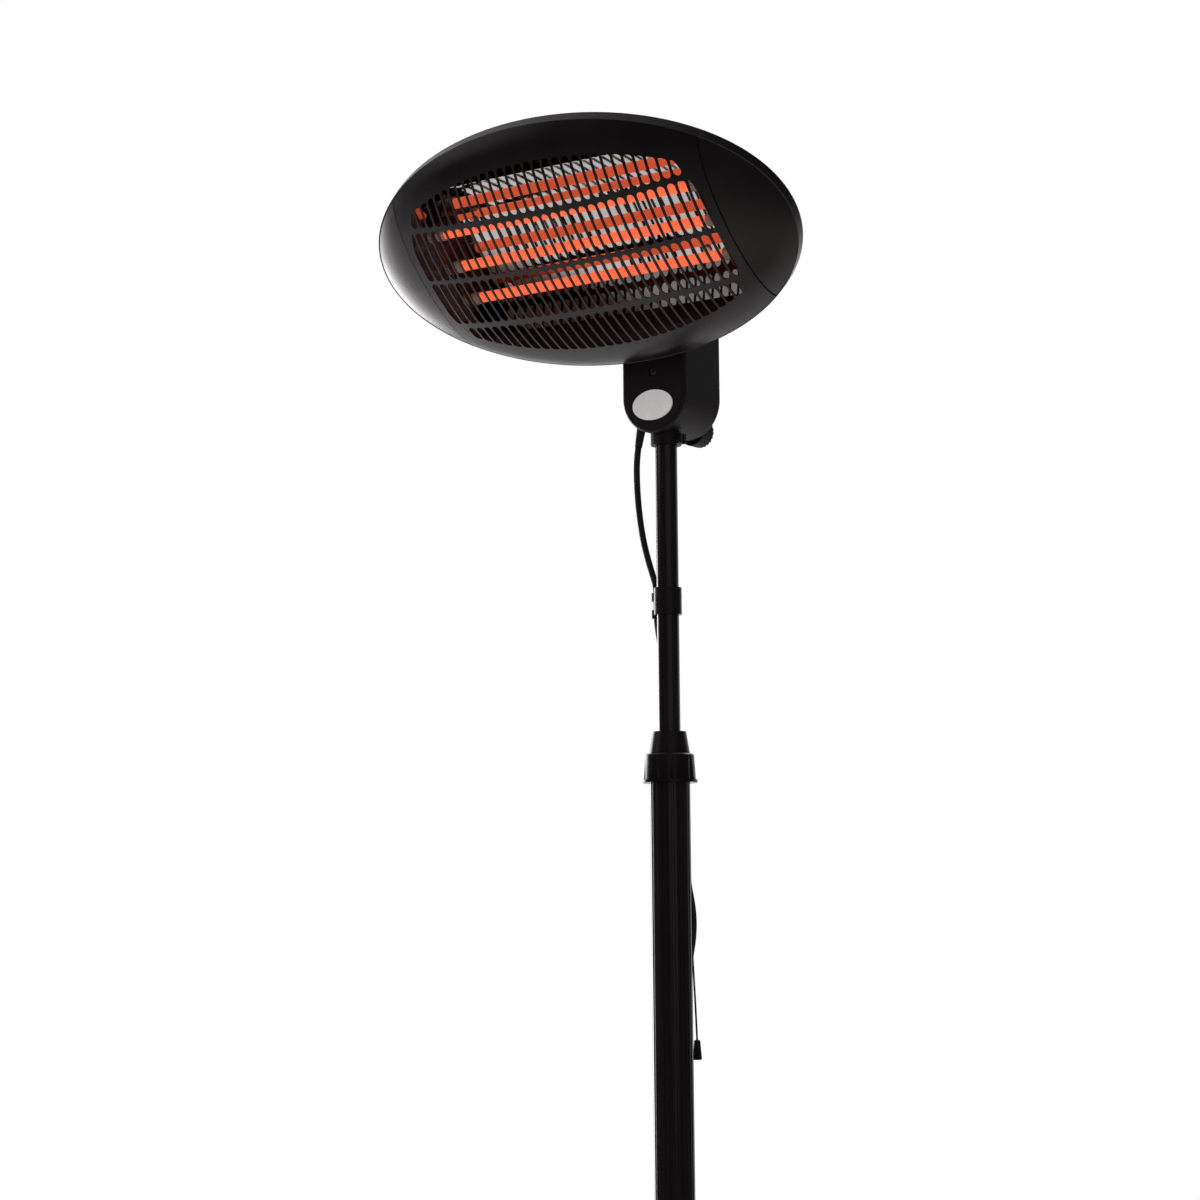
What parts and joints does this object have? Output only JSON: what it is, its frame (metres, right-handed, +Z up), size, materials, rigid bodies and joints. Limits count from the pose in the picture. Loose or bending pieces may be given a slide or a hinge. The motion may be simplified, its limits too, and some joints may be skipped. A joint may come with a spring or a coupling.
{
  "type": "patio heater",
  "caption": "Free-standing electric quartz patio heater: elliptical tilting head with slotted grille, clamshell bracket, telescopic mast with twist lock, pull cord and round weighted base",
  "frame": {"origin": "middle of the round base on the floor, on the mast's axis", "axes": "+Z up along the mast, -Y is the front that the head faces, +X to the right of a person facing the way +Y points"},
  "size_m": [0.52, 0.664, 2.016],
  "materials": {
    "black_paint": "satin black paint",
    "cast_weight": "rough cast",
    "black_rubber": "matt rubber",
    "zinc_steel": "zinc plated",
    "black_aluminium": "black coated",
    "black_plastic": "fine moulded texture",
    "gloss_black": "smooth moulded",
    "black_screw": "black oxide",
    "brass": "turned",
    "badge_white": "bare domed label",
    "pull_cord_black": "braided cord",
    "lead_rubber": "matt cable rubber",
    "reflector_mirror": "polished aluminium sheet",
    "quartz": "frosted, glowing",
    "element": "glowing wire",
    "ceramic": "unglazed ceramic"
  },
  "bodies": {
    "stand": {"base_cover": "black_paint", "base_weight": "cast_weight", "feet": "black_rubber", "base_socket": "black_paint", "socket_bolts": "zinc_steel", "lower_tube": "black_aluminium", "middle_tube": "black_aluminium", "tube_coupler": "zinc_steel", "lock_collet": "black_plastic", "lead_lower": "lead_rubber", "lead_coil": "lead_rubber", "coil_tie": "gloss_black", "lead_tail": "lead_rubber", "plug_body": "lead_rubber", "plug_pins": "zinc_steel"},
    "lock": {"lock_nut": "black_plastic"},
    "mast": {"upper_tube": "black_aluminium", "guide_bush": "black_plastic", "cable_clip": "gloss_black", "lead_upper": "lead_rubber"},
    "bracket": {"housing_front": "black_plastic", "housing_rear": "black_plastic", "housing_screws": "black_screw", "socket_collar": "black_plastic", "clamp_insert": "brass", "tilt_pin": "zinc_steel", "tilt_washers": "zinc_steel", "badge": "badge_white", "pull_switch": "black_plastic", "tip_switch": "black_plastic", "cable_gland": "black_rubber", "cord_grommet": "black_rubber"},
    "clamp": {"clamp_stud": "zinc_steel", "clamp_knob": "black_plastic"},
    "head": {"front_panel": "black_paint", "end_cap_left": "black_paint", "end_cap_right": "black_paint", "rear_shell": "black_paint", "reflector": "reflector_mirror", "reflector_screws": "zinc_steel", "quartz_tubes": "quartz", "heating_coils": "element", "ceramic_ends": "ceramic", "tube_holder_left": "zinc_steel", "tube_holder_right": "zinc_steel", "terminal_block": "ceramic", "neck": "black_paint", "neck_screws": "black_screw"},
    "pull": {"pull_cord": "pull_cord_black", "pull_bell": "gloss_black"}
  },
  "joints": [
    {"name": "lock_twist", "type": "hinge", "parent": "stand", "child": "lock", "pos_m": [0, 0, 1.404], "axis": [0, 0, 1], "range_deg": [0, 180]},
    {"name": "mast_slide", "type": "slide", "parent": "stand", "child": "mast", "axis": [0, 0, 1], "range_m": [-0.11, 0.09], "deforming": ["lead_lower"]},
    {"name": "head_pan", "type": "hinge", "parent": "mast", "child": "bracket", "pos_m": [0, 0, 1.76], "axis": [0, 0, 1], "range_deg": [-45, 45], "deforming": ["lead_upper"]},
    {"name": "clamp_turn", "type": "hinge", "parent": "bracket", "child": "clamp", "pos_m": [0, 0.055, 1.7525], "axis": [0, 1, 0], "range_deg": [0, 360]},
    {"name": "head_tilt", "type": "hinge", "parent": "bracket", "child": "head", "pos_m": [0, 0, 1.881], "axis": [-1, 0, 0], "range_deg": [0, 45]},
    {"name": "pull_travel", "type": "slide", "parent": "bracket", "child": "pull", "axis": [0, 0, -1], "range_m": [0, 0.012], "stiffness_N_per_m": 150}
  ]
}
